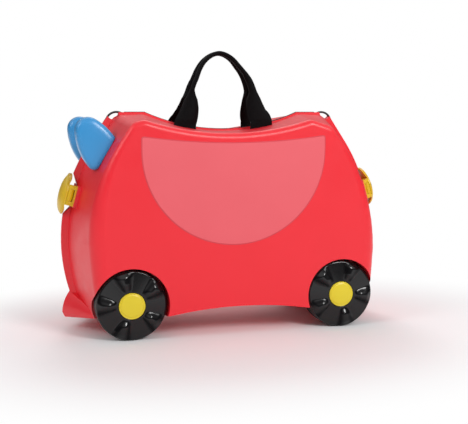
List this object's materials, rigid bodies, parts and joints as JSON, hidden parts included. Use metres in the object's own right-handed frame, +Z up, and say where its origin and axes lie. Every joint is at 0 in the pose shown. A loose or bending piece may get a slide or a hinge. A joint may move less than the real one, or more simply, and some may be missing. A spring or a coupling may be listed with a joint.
{
  "type": "ride-on suitcase",
  "caption": "Hard-shell ride-on suitcase for a child: hinged clamshell with saddle seat, blue horns, webbing handles, round end clasps and rolling wheels.",
  "frame": {"origin": "on the floor under the middle of the case, on the seam between the halves", "axes": "+Z up, X along the length with the front and its horns at -X, -Y the near side of the picture"},
  "size_m": [0.4644, 0.205, 0.3836],
  "materials": {
    "red_shell": "glossy moulded red",
    "panel_film": "satin pale red film",
    "seal_rubber": "matt dark rubber",
    "blue_horn": "satin blue",
    "webbing": "black woven webbing",
    "steel": "plain steel",
    "yellow_trim": "glossy yellow",
    "anchor_plastic": "black nylon",
    "washer_plastic": "white nylon",
    "black_wheel": "glossy black"
  },
  "bodies": {
    "near_half": {"near_shell": "red_shell", "near_panel": "panel_film", "seam_seal": "seal_rubber", "hinge_pins": "steel", "front_tow_loop": "steel", "rear_tow_loop": "steel", "front_clasp_base": "yellow_trim", "rear_clasp_base": "yellow_trim", "front_clasp_pin": "steel", "rear_clasp_pin": "steel", "clasp_base_screws": "steel", "near_horn": "blue_horn", "near_horn_screw": "steel", "near_handle_tails": "webbing", "near_handle_bars": "anchor_plastic", "near_front_axle": "steel", "near_front_washer": "washer_plastic", "near_front_push_nut": "steel", "near_rear_axle": "steel", "near_rear_washer": "washer_plastic", "near_rear_push_nut": "steel"},
    "far_half": {"far_shell": "red_shell", "far_panel": "panel_film", "front_keeper": "yellow_trim", "rear_keeper": "yellow_trim", "keeper_screws": "steel", "far_horn": "blue_horn", "far_horn_screw": "steel", "far_handle_tails": "webbing", "far_handle_bars": "anchor_plastic", "far_front_axle": "steel", "far_front_washer": "washer_plastic", "far_front_push_nut": "steel", "far_rear_axle": "steel", "far_rear_washer": "washer_plastic", "far_rear_push_nut": "steel"},
    "near_front_roller": {"near_front_wheel": "black_wheel", "near_front_hub_cap": "yellow_trim"},
    "near_rear_roller": {"near_rear_wheel": "black_wheel", "near_rear_hub_cap": "yellow_trim"},
    "far_front_roller": {"far_front_wheel": "black_wheel", "far_front_hub_cap": "yellow_trim"},
    "far_rear_roller": {"far_rear_wheel": "black_wheel", "far_rear_hub_cap": "yellow_trim"},
    "front_clasp": {"front_clasp_lever": "yellow_trim"},
    "rear_clasp": {"rear_clasp_lever": "yellow_trim"},
    "near_grip": {"near_handle": "webbing"},
    "far_grip": {"far_handle": "webbing"}
  },
  "joints": [
    {"name": "case_hinge", "type": "hinge", "parent": "near_half", "child": "far_half", "pos_m": [0, 0, 0.013], "axis": [-1, 0, 0], "range_deg": [0, 145]},
    {"name": "near_front_spin", "type": "hinge", "parent": "near_half", "child": "near_front_roller", "pos_m": [-0.147, -0.08, 0.047], "axis": [0, 1, 0], "continuous": true},
    {"name": "near_rear_spin", "type": "hinge", "parent": "near_half", "child": "near_rear_roller", "pos_m": [0.147, -0.08, 0.047], "axis": [0, 1, 0], "continuous": true},
    {"name": "far_front_spin", "type": "hinge", "parent": "far_half", "child": "far_front_roller", "pos_m": [-0.147, 0.08, 0.047], "axis": [0, 1, 0], "continuous": true},
    {"name": "far_rear_spin", "type": "hinge", "parent": "far_half", "child": "far_rear_roller", "pos_m": [0.147, 0.08, 0.047], "axis": [0, 1, 0], "continuous": true},
    {"name": "front_clasp_open", "type": "hinge", "parent": "near_half", "child": "front_clasp", "pos_m": [-0.21796, -0.023, 0.18819], "axis": [0.2766, 0, 0.961], "range_deg": [0, 95]},
    {"name": "rear_clasp_open", "type": "hinge", "parent": "near_half", "child": "rear_clasp", "pos_m": [0.21796, -0.023, 0.18819], "axis": [0.2766, 0, -0.961], "range_deg": [0, 95]},
    {"name": "near_handle_fold", "type": "hinge", "parent": "near_half", "child": "near_grip", "pos_m": [-0.004, -0.025, 0.29], "axis": [1, 0, 0], "range_deg": [0, 95]},
    {"name": "far_handle_fold", "type": "hinge", "parent": "far_half", "child": "far_grip", "pos_m": [-0.004, 0.025, 0.29], "axis": [-1, 0, 0], "range_deg": [0, 95]}
  ]
}
